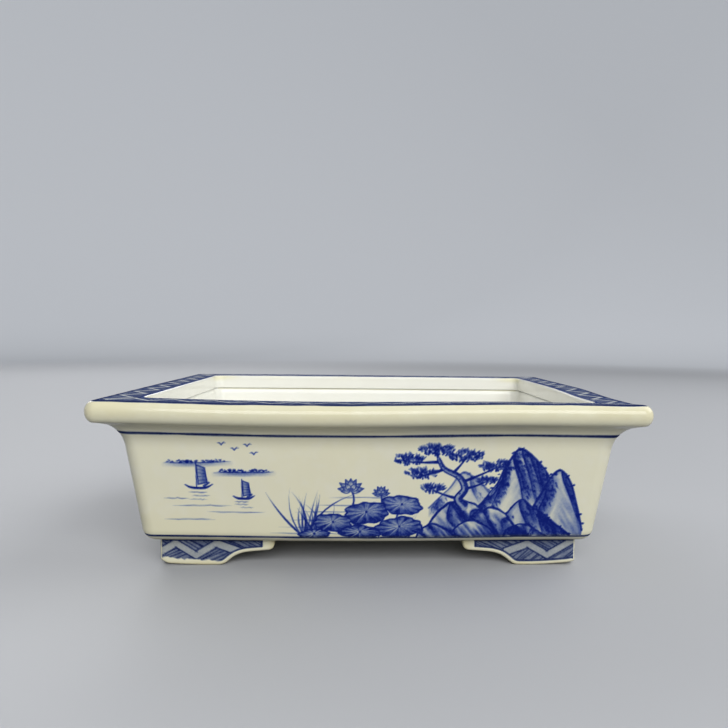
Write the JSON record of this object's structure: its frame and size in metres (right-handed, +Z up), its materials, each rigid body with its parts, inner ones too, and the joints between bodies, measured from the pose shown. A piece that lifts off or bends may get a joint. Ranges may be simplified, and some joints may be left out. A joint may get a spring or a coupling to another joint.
{
  "type": "rectangular bonsai pot",
  "caption": "Rectangular porcelain bonsai pot with a flanged rim, sloping walls, drain holes and bracket feet.",
  "frame": {"origin": "on the table under the pot's centre, at the level of the foot pads", "axes": "+X along the long side to the right, +Y from the front wall to the back wall, +Z up"},
  "size_m": [0.26, 0.198, 0.084],
  "materials": {
    "rim_glaze": "glossy clear glaze over warm white porcelain, cobalt blue pattern on the flat top",
    "wall_glaze": "glossy clear glaze over warm white porcelain, cobalt blue brush painting outside",
    "floor_glaze": "glossy clear glaze over warm white porcelain, one cobalt line round the edge",
    "foot_glaze": "glossy clear glaze over cobalt zigzag bands, bare clay on the pads"
  },
  "bodies": {
    "root": {"floor_slab": "floor_glaze", "wall_front": "wall_glaze", "wall_right": "wall_glaze", "wall_back": "wall_glaze", "wall_left": "wall_glaze", "rim_front": "rim_glaze", "rim_right": "rim_glaze", "rim_back": "rim_glaze", "rim_left": "rim_glaze", "foot_front_left": "foot_glaze", "foot_front_right": "foot_glaze", "foot_back_left": "foot_glaze", "foot_back_right": "foot_glaze"}
  },
  "joints": []
}
